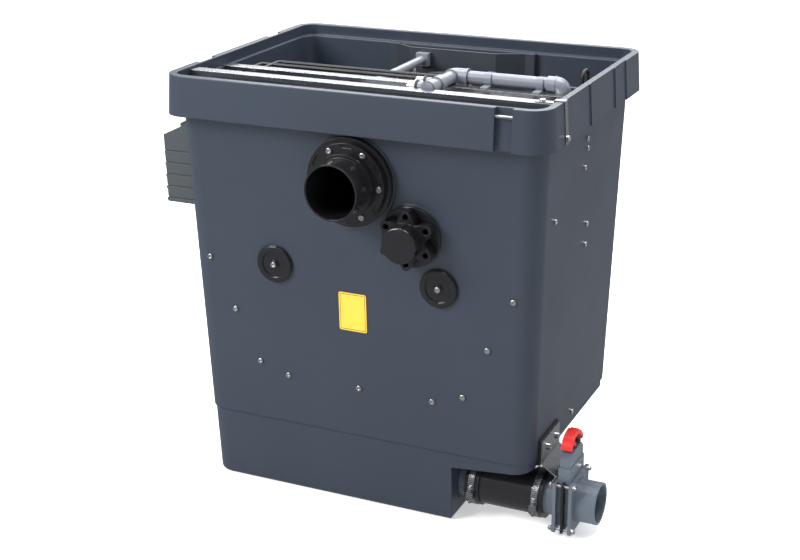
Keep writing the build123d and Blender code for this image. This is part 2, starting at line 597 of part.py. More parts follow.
valve_inner = square_yz(VALVE_HALF, VALVE_X0, VALVE_X0 + FLANGE_X)
valve_inner += square_yz(BLOCK_HALF, VALVE_X0, SLOT_X0, VALVE_HALF)
valve_inner += rod_x(330, VALVE_X0 + 1, DRAIN_Y, DRAIN_Z, DRAIN_R)
valve_inner -= rod_x(320, SLOT_X0 + 5, DRAIN_Y, DRAIN_Z, BLADE_HALF - 3)
valve_inner -= rod_x(320, VALVE_X0 + 4, DRAIN_Y, DRAIN_Z, DRAIN_IN)
valve_outer = square_yz(VALVE_HALF, VALVE_X1 - FLANGE_X, VALVE_X1)
valve_outer += square_yz(BLOCK_HALF, SLOT_X1, VALVE_X1, VALVE_HALF)
valve_outer += rod_x(VALVE_X1 - 1, SOCKET_END, DRAIN_Y, DRAIN_Z, DRAIN_R + 2)
valve_outer -= rod_x(SLOT_X1 - 5, SOCKET_END + 5, DRAIN_Y, DRAIN_Z, BLADE_HALF - 3)
valve_outer -= rod_x(VALVE_X1 - 4, SOCKET_END + 5, DRAIN_Y, DRAIN_Z, DRAIN_IN)
valve_frame = square_yz(VALVE_HALF, SLOT_X0, SLOT_X1)
pocket = rod_x(SLOT_X0 - 5, SLOT_X1 + 5, DRAIN_Y, DRAIN_Z, BLADE_HALF + BLADE_GAP)
pocket += box(SLOT_X0 - 5, SLOT_X1 + 5, DRAIN_Y - BLADE_HALF - BLADE_GAP,
              DRAIN_Y + BLADE_HALF + BLADE_GAP, DRAIN_Z, DRAIN_Z + 80)
valve_frame -= pocket
BONNET_TOP = 178.0
valve_top = DRAIN_Z + VALVE_HALF
bonnet = box(VALVE_X0 + 7, VALVE_X1 - 7, DRAIN_Y - 41, DRAIN_Y + 41, valve_top, valve_top + 30)
bonnet += box(VALVE_X0 + 9, VALVE_X1 - 9, DRAIN_Y - 39, DRAIN_Y + 39, valve_top + 30, BONNET_TOP)
bonnet = chamfer(bonnet.edges().filter_by(Axis.X).group_by(Axis.Z)[-1], 12.0)
bonnet -= box(SLOT_X0, SLOT_X1, DRAIN_Y - BLADE_HALF - BLADE_GAP, DRAIN_Y + BLADE_HALF + BLADE_GAP,
              valve_top - 5, BONNET_TOP - 16)
bonnet -= box(SLOT_X0, SLOT_X1, DRAIN_Y - 27, DRAIN_Y + 27, valve_top - 5, BONNET_TOP - 5)
mid_x = (VALVE_X0 + VALVE_X1) / 2
bonnet -= rod_z(mid_x, DRAIN_Y, valve_top, BONNET_TOP + 5, BLADE_T / 2 + SHAFT_GAP)
blade = rod_x(mid_x - BLADE_T / 2, mid_x + BLADE_T / 2, DRAIN_Y, DRAIN_Z, BLADE_HALF)
blade += box(mid_x - BLADE_T / 2, mid_x + BLADE_T / 2, DRAIN_Y - BLADE_HALF, DRAIN_Y + BLADE_HALF,
             DRAIN_Z, DRAIN_Z + BLADE_HALF - 6)
blade += rod_z(mid_x, DRAIN_Y, DRAIN_Z + BLADE_HALF - 8, BONNET_TOP + 8, BLADE_T / 2)

# pull handle: an arched grip on the stem
HANDLE_Z = BONNET_TOP + 4.0
arch = []
for i in range(13):
    a = math.radians(-66 + 11 * i)
    arch.append((DRAIN_Y + 42 * math.sin(a), HANDLE_Z - 14 + 46 * math.cos(a)))
for i in range(12, -1, -1):
    a = math.radians(-66 + 11 * i)
    arch.append((DRAIN_Y + 35 * math.sin(a), HANDLE_Z - 14 + 38 * math.cos(a)))
handle = plate_yz(arch, mid_x - 11, mid_x + 11)
handle += rod_z(mid_x, DRAIN_Y, HANDLE_Z, HANDLE_Z + 28, 8.0)
handle -= rod_z(mid_x, DRAIN_Y, HANDLE_Z - 5, BONNET_TOP + 8, BLADE_T / 2)

valve_bolts = []
for dy in (-VALVE_BOLT, VALVE_BOLT):
    for dz in (-VALVE_BOLT, VALVE_BOLT):
        y = DRAIN_Y + dy
        z = DRAIN_Z + dz
        bolt = rod_x(VALVE_X0 - 9, VALVE_X1 + 7, y, z, SHANK_R)
        spot = Pos(VALVE_X1, y, z) * Rot(0, 90, 0)
        bolt += spot * extrude(RegularPolygon(5.6, 6), 4.5)
        spot = Pos(VALVE_X0 - 3, y, z) * Rot(0, -90, 0)
        bolt += spot * extrude(RegularPolygon(5.6, 6), 4.5)
        valve_bolts.append(bolt)
        hole = rod_x(VALVE_X0 - 20, VALVE_X1 + 20, y, z, SHANK_R)
        valve_inner -= hole
        valve_outer -= hole
        valve_frame -= hole

# ---- sheet bracket that hangs the valve from the tank wall, on a rubber pad
PAD_T = 4.0
PAD_Y0 = -204.0
PAD_Y1 = -95.0
wall_x = half_x(STEP_Z + 20)
pad_zone = box(wall_x - 20, wall_x + PAD_T, PAD_Y0, PAD_Y1, 139, 194)
pad = pad_zone - body_outer
pad = Compound(children=[s for s in pad.solids() if s.center().X > wall_x - 6])
BR_T = 3.0
px = wall_x + PAD_T
bracket = plate_xz([(px, 190), (px + BR_T, 190), (px + BR_T, 143), (VALVE_X0, 121),
                    (VALVE_X0, 107), (VALVE_X0 - BR_T, 107), (VALVE_X0 - BR_T, 119), (px, 141)],
                   PAD_Y0 + 4, PAD_Y1)
bracket += box(VALVE_X0 - BR_T, VALVE_X0, DRAIN_Y - VALVE_HALF, DRAIN_Y + VALVE_HALF, 107, 121)
bracket -= box(VALVE_X0 - 20, VALVE_X0, DRAIN_Y + VALVE_HALF, PAD_Y1 + 5, 100, 122)
for dy in (-VALVE_BOLT, VALVE_BOLT):
    bracket -= rod_x(VALVE_X0 - 20, VALVE_X0 + 20, DRAIN_Y + dy, DRAIN_Z + VALVE_BOLT, SHANK_R)
    low = Pos(VALVE_X0 - BR_T / 2, DRAIN_Y + dy, DRAIN_Z - VALVE_BOLT) * Rot(0, 90, 0)
    valve_inner += low * (Cylinder(5.5, BR_T) - Cylinder(SHANK_R, BR_T + 2))
bracket_bolts = []
for y, z in ((-163.0, 165.0), (-110.0, 165.0)):
    spot = Pos(px + BR_T, y, z) * Rot(0, 90, 0)
    bracket_bolts.append(spot * pan_screw(22, 7.0, 5.0, 4.0))
    pad -= spot * shank_hole(22, 4.0)
    bracket -= spot * shank_hole(22, 4.0)
    tank_holes.append(spot * shank_hole(22, 4.0))

# ---- control box on the left wall
BOX_OUT = -480.0
BOX_Z0 = 579.0
cover_profile = [(BOX_OUT + 2, BOX_Z0), (BOX_OUT, 724), (-381, 772), (-370, 772), (-370, BOX_Z0)]
ctrl_cover = plate_xz(cover_profile, -185, -139)
for i in range(5):
    z = 588 + 25.5 * i
    ctrl_cover -= box(BOX_OUT - 5, -411, -186, -183, z - 1.6, z + 1.6)
    ctrl_cover += box(BOX_OUT - 2.5, BOX_OUT + 6, -182, -142, z - 8, z - 2)
housing_profile = [(BOX_OUT + 14, BOX_Z0 + 6), (BOX_OUT + 12, 738), (-381, 782), (-370, 782),
                   (-370, BOX_Z0 + 6)]
ctrl_housing = plate_xz(housing_profile, -139, -85)
ctrl_cover -= body_outer
ctrl_housing -= body_outer
for y, z in ((-110, 700), (-125, 672)):
    ctrl_housing += rod_x(-390, -360, y, z, 8.0)
    tank_holes.append(rod_x(-400, -350, y, z, 8.0))
tank -= tank_holes
bulkhead -= bulk_holes

label_plate = on_front(-8, 428.5) * Pos(0, 0, 0.6) * Box(60, 81, 1.2)
label_plate = fillet(label_plate.edges().filter_by(lambda e: abs(e.length - 1.2) < 0.01), 4.0)

# ---- rinse pump on the overhang floor
PUMP_X = 296.0
pump = rod_z(PUMP_X, FEED_Y, 176, 290, 36.0)
pump = fillet(pump.edges().group_by(Axis.Z)[-1], 6.0)
pump += rod_z(PUMP_X, FEED_Y, 160, 176, 40.0)
pump += rod_x(PUMP_X, RISER_X, FEED_Y, 296 - 24, 11.0)
pump += rod_z(RISER_X, FEED_Y, 258, 300, 13.8)
pump -= rod_z(RISER_X, FEED_Y, 276, 305, RINSE_R)
foot = box(PUMP_X - 45, PUMP_X + 45, FEED_Y - 45, FEED_Y + 45, 120, 160) & cavity
foot -= box(PUMP_X - 31, PUMP_X + 31, FEED_Y - 60, FEED_Y + 60, 100, 152)

# ---- pressure pipes and fittings
pipe_r_in = RINSE_R - RINSE_T
riser = tube_z(RISER_X, FEED_Y, 276, RINSE_Z - 14, RINSE_R, pipe_r_in)
feed = tube_x(MANIFOLD_X + 14, RISER_X - 14, FEED_Y, RINSE_Z, RINSE_R, pipe_r_in)
MANIFOLD_Y0 = -189.0
manifold = tube_y(MANIFOLD_X, MANIFOLD_Y0, FEED_Y - 14, RINSE_Z, RINSE_R, pipe_r_in)


def elbow(points):
    return swept(points, 13.0, FITTING_R) - swept(points, 13.0, RINSE_R)


elbows = [elbow([(RISER_X, FEED_Y, RINSE_Z - 32), (RISER_X, FEED_Y, RINSE_Z),
                 (RISER_X - 30, FEED_Y, RINSE_Z)]),
          elbow([(MANIFOLD_X + 30, FEED_Y, RINSE_Z), (MANIFOLD_X, FEED_Y, RINSE_Z),
                 (MANIFOLD_X, FEED_Y - 15.5, RINSE_Z)])]
BRANCH_Y = (-174.0, -134.0)
tees = []
rings = []
plugs = []
for y in BRANCH_Y:
    tee = rod_y(MANIFOLD_X, y - 11, y + 11, RINSE_Z, FITTING_R)
    tee += rod_x(96, MANIFOLD_X, y, RINSE_Z, 10.9)
    tee -= rod_y(MANIFOLD_X, y - 20, y + 20, RINSE_Z, RINSE_R)
    tee -= rod_x(90, MANIFOLD_X, y, RINSE_Z, 8.0)
    tees.append(tee)
    manifold -= rod_x(90, MANIFOLD_X, y, RINSE_Z, 8.0)
    rings.append(tube_x(92, 96, y, RINSE_Z, 13.5, 8.0))
    plugs.append(rod_x(76, 92, y, RINSE_Z, 10.9) + rod_x(92, 104, y, RINSE_Z, 8.0))
cap_end = rod_y(MANIFOLD_X, MANIFOLD_Y0 - 2, MANIFOLD_Y0, RINSE_Z, RINSE_R)
manifold += cap_end
DROP_Y = sum(BRANCH_Y) / 2
drop = rod_z(MANIFOLD_X, DROP_Y, BAR_Z, RINSE_Z, 8.0)
drop += rod_z(MANIFOLD_X, DROP_Y, RINSE_Z - 22, RINSE_Z, 8.8)
drop -= rod_y(MANIFOLD_X, DROP_Y - 30, DROP_Y + 30, RINSE_Z, RINSE_R)
bar = drop + rod_x(BAR_X, MANIFOLD_X + 8, DROP_Y, BAR_Z, BAR_R)
bar += rod_y(BAR_X, -158, 226, BAR_Z, BAR_R)
NOZZLE_Y = [-140 + 45 * i for i in range(8)]
nozzles = []
for y in NOZZLE_Y:
    nozzle = rod_z(BAR_X, y, BAR_Z - BAR_R - 10, BAR_Z - BAR_R + 3, 5.0)
    bar -= nozzle
    nozzles.append(nozzle)
clips = []
clip = box(BAR_X - 14, BAR_X + 14, 216, BAFFLE_Y, BAR_Z - 14, BAR_Z + 14)
clips.append(clip - rod_y(BAR_X, 210, 226, BAR_Z, BAR_R))
for x in (196, 302):
    saddle = box(x - 7, x + 7, FEED_Y - 34, FEED_Y, LEDGE_Z + RAIL_T, LEDGE_Z + RAIL_T + 3)
    saddle += rod_x(x - 7, x + 7, FEED_Y, RINSE_Z, RINSE_R + 2.5)
    saddle -= rod_x(x - 20, x + 20, FEED_Y, RINSE_Z, RINSE_R)
    saddle -= box(x - 20, x + 20, FEED_Y - 8, FEED_Y + 8, RINSE_Z, RINSE_Z + 30)
    clips.append(saddle)

# ---- level float on a stem at the right wall
STEM_X = 330.0
STEM_Y = 30.0
FLOAT_R = 22.0
FLOAT_Z0 = 610.0
FLOAT_H = 42.0
FLOAT_ROD_R = 4.0
right_layer = cavity - Pos(-3, 0, 0) * cavity
bracket_zone = box(340, 400, -30, 46, 692, 776)
float_bracket = (right_layer & bracket_zone) + (box(STEM_X - 12, 400, 16, 44, 742, 745) & cavity)
guide_zone = box(340, 400, 4, 42, 524, 592)
float_guide = (right_layer & guide_zone) + (box(STEM_X - 12, 400, 16, 42, 528, 532) & cavity)
for p in places[9:]:
    float_bracket -= p * shank_hole(SCREW_L)
    float_guide -= p * shank_hole(SCREW_L)
float_stem = rod_z(STEM_X, STEM_Y, 522, 752, FLOAT_ROD_R)
float_bracket -= float_stem
float_guide -= float_stem
float_stem += rod_z(STEM_X, STEM_Y, 745, 749, 8.0)
level_float = tube_z(STEM_X, STEM_Y, FLOAT_Z0, FLOAT_Z0 + FLOAT_H, FLOAT_R, FLOAT_ROD_R + SHAFT_GAP)
level_float = fillet(level_float.edges().filter_by(lambda e: e.length > 100), 6.0)

# ---- cables: motor and pump to the glands in the left wall
CABLE_R = 3.5
CABLE_Z = 849.0
motor_cable = swept([(PINION_X, motor_end, PINION_Z), (PINION_X, -8, PINION_Z),
                     (PINION_X, -8, CABLE_Z), (-340, -8, CABLE_Z), (-340, -110, CABLE_Z),
                     (-340, -110, 700), (-360, -110, 700)], 10, CABLE_R)
pump_cable = swept([(PUMP_X, FEED_Y + 22, 290), (PUMP_X, FEED_Y + 22, 330), (350, -8, 330),
                    (368, -8, 890), (368, 22, 890), (368, 22, CABLE_Z), (-315, 22, CABLE_Z),
                    (-315, -125, CABLE_Z), (-315, -125, 672), (-360, -125, 672)], 10, CABLE_R)

keep("tank_shell", tank)
keep("front_rail", front_rail)
keep("rear_rail", rear_rail)
keep("rail_strap", rail_strap)
keep("wall_screws", *wall_screws)
keep("bulkhead_plate", bulkhead)
keep("neck_seal", neck_seal)
keep("drum_neck_ring", neck_ring)
keep("drum_gear_ring", drum_gear)
keep("drum_frame", frame)
keep("drum_screens", screens)
keep("drum_end_plate", end_plate)
keep("rear_bearing", bearing)
keep("back_baffle", baffle)
keep("drive_plate", plate)
keep("gear_motor", motor)
keep("pinion", pinion)
keep("port_flanges", inlet_flange, outlet_flange)
keep("clamp_rings", inlet_clamp, outlet_clamp)
keep("inlet_pipe", inlet_pipe)
keep("outlet_pipe", outlet_pipe)
keep("flange_screws", *inlet_bolts, *outlet_bolts)
keep("cap_flange", cap_flange)
keep("star_cap", star_cap)
keep("waste_trough", trough)
keep("drain_stub", drain_stub)
keep("drain_coupling", coupling)
keep("hose_clamps", *clamps)
keep("valve_body_inner", valve_inner)
keep("valve_body_outer", valve_outer)
keep("valve_frame", valve_frame)
keep("valve_bonnet", bonnet)
keep("valve_blade", blade)
keep("valve_handle", handle)
keep("valve_bolts", *valve_bolts)
keep("valve_bracket", bracket)
keep("bracket_pad", pad)
keep("bracket_bolts", *bracket_bolts)
keep("control_cover", ctrl_cover)
keep("control_housing", ctrl_housing)
keep("label_plate", label_plate)
keep("rinse_pump", pump + foot)
keep("feed_pipes", riser, feed)
keep("manifold_pipe", manifold)
keep("pipe_elbows", *elbows)
keep("branch_tees", *tees)
keep("branch_rings", *rings)
keep("branch_plugs", *plugs)
keep("spray_bar", bar)
keep("spray_nozzles", *nozzles)
keep("pipe_clips", *clips)
keep("float_bracket", float_bracket, float_guide)
keep("float_stem", float_stem)
keep("level_float", level_float)
keep("cables", motor_cable, pump_cable)

for name, solids in NODES.items():
    shape = solids[0] if len(solids) == 1 else Compound(children=solids)
    export_step(shape, "parts/" + name + ".step")
    box_size = shape.bounding_box()
    print(name, len(solids), [round(v, 1) for v in (*box_size.min, *box_size.max)])
print(len(NODES), "nodes")
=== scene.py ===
import json
import math

import bmesh
import bpy
from mathutils import Matrix, Vector


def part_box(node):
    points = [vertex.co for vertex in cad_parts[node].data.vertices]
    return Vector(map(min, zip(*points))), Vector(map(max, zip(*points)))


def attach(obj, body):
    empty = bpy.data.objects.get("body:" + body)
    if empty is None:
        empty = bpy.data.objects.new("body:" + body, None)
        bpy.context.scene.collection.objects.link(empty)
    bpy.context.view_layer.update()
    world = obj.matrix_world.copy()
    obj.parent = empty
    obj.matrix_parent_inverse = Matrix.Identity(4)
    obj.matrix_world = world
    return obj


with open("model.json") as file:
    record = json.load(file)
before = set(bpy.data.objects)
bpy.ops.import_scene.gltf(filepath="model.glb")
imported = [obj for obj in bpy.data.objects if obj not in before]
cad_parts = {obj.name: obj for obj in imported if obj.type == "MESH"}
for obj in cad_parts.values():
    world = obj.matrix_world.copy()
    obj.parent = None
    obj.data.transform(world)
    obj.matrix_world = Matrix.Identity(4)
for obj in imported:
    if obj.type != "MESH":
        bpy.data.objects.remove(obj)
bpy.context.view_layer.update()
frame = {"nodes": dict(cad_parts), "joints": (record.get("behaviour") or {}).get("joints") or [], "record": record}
nodes = frame["nodes"]
print("frame loaded", len(nodes))

drumAxis = next(j["pos_m"] for j in frame["joints"] if j["name"] == "drum_spin")
drainAxis = next(m["pos_m"] for m in frame["record"]["mounts"] if m["name"] == "drain_socket")


def addNode(tree, kind, **values):
    node = tree.nodes.new(kind)
    for key, value in values.items():
        setattr(node, key, value)
    return node


def mathNode(tree, operation, first, second=None):
    node = addNode(tree, "ShaderNodeMath", operation=operation)
    for socket, value in zip(node.inputs, (first, second)):
        if value is None:
            continue
        if isinstance(value, (int, float)):
            socket.default_value = value
        else:
            tree.links.new(value, socket)
    return node.outputs[0]


def makeGroup(name, inputs, outputs):
    tree = bpy.data.node_groups.new(name, "ShaderNodeTree")
    for label, kind, value in inputs:
        socket = tree.interface.new_socket(label, in_out="INPUT", socket_type=kind)
        if value is not None:
            socket.default_value = value
    for label, kind in outputs:
        tree.interface.new_socket(label, in_out="OUTPUT", socket_type=kind)
    return tree, addNode(tree, "NodeGroupInput"), addNode(tree, "NodeGroupOutput")


def grainGroup():
    # two scales of noise that tint, dull and dimple a surface
    tree, source, sink = makeGroup("surfaceGrain", [
        ("Vector", "NodeSocketVector", None), ("Base", "NodeSocketColor", (.5, .5, .5, 1)),
        ("Shade", "NodeSocketColor", (.4, .4, .4, 1)), ("Coarse", "NodeSocketFloat", 6),
        ("Fine", "NodeSocketFloat", 400), ("Smooth", "NodeSocketFloat", .3),
        ("Rough", "NodeSocketFloat", .5)],
        [("Color", "NodeSocketColor"), ("Roughness", "NodeSocketFloat"),
         ("Height", "NodeSocketFloat")])
    broad = addNode(tree, "ShaderNodeTexNoise")
    fine = addNode(tree, "ShaderNodeTexNoise")
    broad.inputs["Detail"].default_value = 5
    fine.inputs["Detail"].default_value = 3
    mix = addNode(tree, "ShaderNodeMix", data_type="RGBA")
    spread = addNode(tree, "ShaderNodeMapRange")
    link = tree.links.new
    for texture, scale in ((broad, "Coarse"), (fine, "Fine")):
        link(source.outputs["Vector"], texture.inputs["Vector"])
        link(source.outputs[scale], texture.inputs["Scale"])
    link(broad.outputs["Fac"], mix.inputs[0])
    link(source.outputs["Base"], mix.inputs[6])
    link(source.outputs["Shade"], mix.inputs[7])
    link(broad.outputs["Fac"], spread.inputs["Value"])
    spread.inputs["From Min"].default_value = .3
    spread.inputs["From Max"].default_value = .7
    link(source.outputs["Smooth"], spread.inputs["To Min"])
    link(source.outputs["Rough"], spread.inputs["To Max"])
    link(mix.outputs[2], sink.inputs["Color"])
    link(spread.outputs[0], sink.inputs["Roughness"])
    link(fine.outputs["Fac"], sink.inputs["Height"])
    return tree


grain = grainGroup()


def makeMaterial(name, look):
    material = bpy.data.materials.new(name)
    material.use_nodes = True
    tree = material.node_tree
    tree.nodes.clear()
    link = tree.links.new
    shader = addNode(tree, "ShaderNodeBsdfPrincipled")
    output = addNode(tree, "ShaderNodeOutputMaterial")
    link(shader.outputs[0], output.inputs["Surface"])
    place = addNode(tree, "ShaderNodeTexCoord")
    stretch = addNode(tree, "ShaderNodeMapping")
    stretch.inputs["Scale"].default_value = look.get("stretch", (1, 1, 1))
    link(place.outputs["Object"], stretch.inputs["Vector"])
    surface = addNode(tree, "ShaderNodeGroup", node_tree=grain)
    link(stretch.outputs[0], surface.inputs["Vector"])
    surface.inputs["Base"].default_value = (*look["base"], 1)
    surface.inputs["Shade"].default_value = (*look["shade"], 1)
    surface.inputs["Coarse"].default_value = look.get("coarse", 7)
    surface.inputs["Fine"].default_value = look.get("fine", 500)
    surface.inputs["Smooth"].default_value = look["rough"][0]
    surface.inputs["Rough"].default_value = look["rough"][1]
    link(surface.outputs["Roughness"], shader.inputs["Roughness"])
    shader.inputs["Metallic"].default_value = look.get("metal", 0)
    shader.inputs["Coat Weight"].default_value = look.get("coat", 0)
    shader.inputs["Coat Roughness"].default_value = look.get("coatRough", .15)
    shader.inputs["Specular IOR Level"].default_value = look.get("gloss", .5)
    edge = addNode(tree, "ShaderNodeBevel", samples=6)
    edge.inputs["Radius"].default_value = look.get("edge", .0012)
    bump = addNode(tree, "ShaderNodeBump")
    bump.inputs["Strength"].default_value = look.get("bump", .15)
    bump.inputs["Distance"].default_value = look.get("depth", .0004)
    link(edge.outputs[0], bump.inputs["Normal"])
    link(bump.outputs[0], shader.inputs["Normal"])
    color, height = surface.outputs["Color"], surface.outputs["Height"]
    if "pattern" in look:
        color, height = look["pattern"](tree, place.outputs["Object"], color, height)
    link(color, shader.inputs["Base Color"])
    link(height, bump.inputs["Height"])
    return material


def tint(tree, factor, color, other):
    mix = addNode(tree, "ShaderNodeMix", data_type="RGBA")
    tree.links.new(factor, mix.inputs[0])
    tree.links.new(color, mix.inputs[6])
    mix.inputs[7].default_value = (*other, 1)
    return mix.outputs[2]


def splitXyz(tree, place):
    node = addNode(tree, "ShaderNodeSeparateXYZ")
    tree.links.new(place, node.inputs[0])
    return node.outputs


weave = {"around": 720, "along": 4000, "open": .1, "gap": (.03, .03, .035)}


def meshPattern(tree, place, color, height):
    # woven screen: threads along the drum and threads around it
    axes = splitXyz(tree, place)
    turn = mathNode(tree, "ARCTAN2", mathNode(tree, "SUBTRACT", axes[2], drumAxis[2]), axes[0])
    around = mathNode(tree, "SINE", mathNode(tree, "MULTIPLY", turn, weave["around"]))
    along = mathNode(tree, "SINE", mathNode(tree, "MULTIPLY", axes[1], weave["along"]))
    threads = mathNode(tree, "MAXIMUM", around, along)
    holes = mathNode(tree, "LESS_THAN", threads, weave["open"])
    return tint(tree, holes, color, weave["gap"]), threads


plateLine = {"inset": .003, "half": .0006, "ink": (.03, .03, .03)}


def platePattern(tree, place, color, height):
    # blank plate with one thin printed frame line
    axes = splitXyz(tree, place)
    low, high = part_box("label_plate")
    side = mathNode(tree, "ABSOLUTE", mathNode(tree, "SUBTRACT", axes[0], (low[0] + high[0]) / 2))
    rise = mathNode(tree, "ABSOLUTE", mathNode(tree, "SUBTRACT", axes[2], (low[2] + high[2]) / 2))
    fromEdge = mathNode(tree, "MINIMUM",
                        mathNode(tree, "SUBTRACT", (high[0] - low[0]) / 2, side),
                        mathNode(tree, "SUBTRACT", (high[2] - low[2]) / 2, rise))
    line = mathNode(tree, "COMPARE", fromEdge, plateLine["inset"])
    line.node.inputs[2].default_value = plateLine["half"]
    return tint(tree, line, color, plateLine["ink"]), height


bandSlots = {"around": 90, "narrow": .55, "ink": (.12, .12, .12)}


def bandPattern(tree, place, color, height):
    # worm slots cut across the clamp band
    axes = splitXyz(tree, place)
    turn = mathNode(tree, "ARCTAN2", mathNode(tree, "SUBTRACT", axes[2], drainAxis[2]),
                    mathNode(tree, "SUBTRACT", axes[1], drainAxis[1]))
    slots = mathNode(tree, "SINE", mathNode(tree, "MULTIPLY", turn, bandSlots["around"]))
    dark = mathNode(tree, "GREATER_THAN", slots, bandSlots["narrow"])
    return tint(tree, dark, color, bandSlots["ink"]), mathNode(tree, "SUBTRACT", height, dark)


looks = {
    "tankPlastic": {"base": (.034, .045, .064), "shade": (.026, .035, .051), "coarse": 4,
                    "fine": 900, "rough": (.30, .38), "bump": .22, "depth": .0003, "edge": .003},
    "innerPlastic": {"base": (.034, .041, .053), "shade": (.022, .027, .036), "coarse": 5,
                     "fine": 700, "rough": (.38, .5), "edge": .0015},
    "blackGloss": {"base": (.012, .012, .014), "shade": (.008, .008, .009), "rough": (.16, .24),
                   "bump": .05, "edge": .0014, "coat": .3},
    "darkNylon": {"base": (.030, .032, .036), "shade": (.020, .021, .024), "rough": (.35, .5),
                  "edge": .001},
    "greyPvc": {"base": (.105, .130, .160), "shade": (.085, .105, .132), "rough": (.2, .3),
                "bump": .08, "edge": .0012, "coat": .15},
    "lightPvc": {"base": (.21, .225, .26), "shade": (.165, .18, .21), "rough": (.2, .32),
                 "bump": .08, "edge": .001},
    "boxPlastic": {"base": (.052, .061, .068), "shade": (.042, .050, .056), "rough": (.42, .55),
                   "fine": 900, "edge": .0016},
    "redHandle": {"base": (.68, .020, .018), "shade": (.56, .014, .012), "rough": (.2, .3),
                  "bump": .05, "edge": .0016, "coat": .3},
    "yellowPlate": {"base": (.86, .52, .045), "shade": (.80, .47, .035), "rough": (.28, .36),
                    "bump": .03, "edge": .0004, "pattern": platePattern},
    "brushedSteel": {"base": (.50, .51, .53), "shade": (.36, .37, .39), "rough": (.18, .32),
                     "metal": 1, "stretch": (1, 24, 24), "fine": 260, "bump": .06, "edge": .0006},
    "screwSteel": {"base": (.78, .77, .76), "shade": (.62, .61, .60), "rough": (.18, .3),
                   "metal": 1, "coarse": 60, "edge": .0005},
    "bandSteel": {"base": (.58, .58, .59), "shade": (.44, .44, .46), "rough": (.16, .28),
                  "metal": 1, "bump": .5, "depth": .0006, "edge": .0004, "pattern": bandPattern},
    "motorPaint": {"base": (.16, .17, .18), "shade": (.12, .13, .14), "rough": (.35, .48),
                   "metal": .6, "edge": .001},
    "softRubber": {"base": (.014, .014, .015), "shade": (.009, .009, .010), "rough": (.38, .55),
                   "bump": .25, "edge": .0014},
    "couplingGloss": {"base": (.014, .014, .015), "shade": (.009, .009, .010), "rough": (.12, .2),
                      "bump": .06, "edge": .0014, "coat": .4},
    "screenMesh": {"base": (.50, .51, .52), "shade": (.40, .41, .42), "rough": (.3, .45),
                   "metal": .8, "bump": .6, "depth": .0005, "edge": .0004, "pattern": meshPattern},
    "floatWhite": {"base": (.62, .62, .60), "shade": (.54, .54, .52), "rough": (.35, .5),
                   "edge": .001},
}
materials = {name: makeMaterial(name, look) for name, look in looks.items()}
print("materials made", len(materials))

wears = {
    "tankPlastic": ["tank_shell"],
    "innerPlastic": ["bulkhead_plate", "back_baffle", "waste_trough"],
    "blackGloss": ["port_flanges", "clamp_rings", "inlet_pipe", "outlet_pipe", "cap_flange",
                   "star_cap", "roller_covers"],
    "darkNylon": ["roller_left", "roller_right", "drum_neck_ring", "drum_gear_ring",
                  "drum_frame", "drum_end_plate", "rear_bearing", "rinse_pump", "pinion"],
    "greyPvc": ["drain_stub", "valve_body_inner", "valve_body_outer", "valve_bonnet"],
    "lightPvc": ["feed_pipes", "manifold_pipe", "pipe_elbows", "branch_tees", "spray_bar",
                 "pipe_clips"],
    "boxPlastic": ["control_cover", "control_housing"],
    "redHandle": ["valve_handle"],
    "yellowPlate": ["label_plate"],
    "brushedSteel": ["rim_pin", "front_rail", "rear_rail", "rail_strap", "drive_plate",
                     "valve_blade", "valve_bracket", "float_bracket", "float_stem"],
    "screwSteel": ["wall_screws", "flange_screws", "roller_axles", "valve_bolts",
                   "bracket_bolts", "branch_plugs", "spray_nozzles"],
    "bandSteel": ["hose_clamps"],
    "motorPaint": ["gear_motor"],
    "couplingGloss": ["drain_coupling"],
    "softRubber": ["neck_seal", "valve_frame", "bracket_pad", "branch_rings", "cables"],
    "screenMesh": ["drum_screens"],
    "floatWhite": ["level_float"],
}
for materialName, worn in wears.items():
    for nodeName in worn:
        for slotItem in nodes[nodeName].material_slots:
            slotItem.material = materials[materialName]
print("materials worn", sum(len(v) for v in wears.values()))


def linkNew(name, data):
    item = bpy.data.objects.new(name, data)
    bpy.context.scene.collection.objects.link(item)
    return item


def finishPiece(name, mesh, materialName, body):
    bmesh.ops.remove_doubles(mesh, verts=mesh.verts, dist=1e-6)
    bmesh.ops.recalc_face_normals(mesh, faces=mesh.faces)
    data = bpy.data.meshes.new(name)
    mesh.to_mesh(data)
    mesh.free()
    for polygon in data.polygons:
        polygon.use_smooth = True
    data.set_sharp_from_angle(angle=math.radians(35))
    data.materials.append(materials[materialName])
    piece = linkNew(name, data)
    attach(piece, body)


def addTurned(mesh, profile, matrix, steps=48):
    # profile of (radius, height) turned about local Z
    before = set(mesh.verts)
    corners = [mesh.verts.new((r, 0, h)) for r, h in profile]
    edges = [mesh.edges.new(pair) for pair in zip(corners, corners[1:])]
    bmesh.ops.spin(mesh, geom=corners + edges, cent=(0, 0, 0), axis=(0, 0, 1),
                   angle=math.tau, steps=steps, use_merge=True)
    bmesh.ops.transform(mesh, matrix=matrix, verts=[v for v in mesh.verts if v not in before])


def addBlock(mesh, low, high, radius=0):
    size = Vector(high) - Vector(low)
    middle = (Vector(high) + Vector(low)) / 2
    made = bmesh.ops.create_cube(mesh, size=1, matrix=Matrix.Translation(middle) @
                                 Matrix.Diagonal((*size, 1)))
    if radius:
        edges = list({e for v in made["verts"] for e in v.link_edges})
        bmesh.ops.bevel(mesh, geom=edges, offset=radius, segments=3, profile=.5,
                        affect="EDGES", material=-1)


def facing(origin, direction):
    turn = Vector((0, 0, 1)).rotation_difference(Vector(direction)).to_matrix().to_4x4()
    return Matrix.Translation(Vector(origin)) @ turn


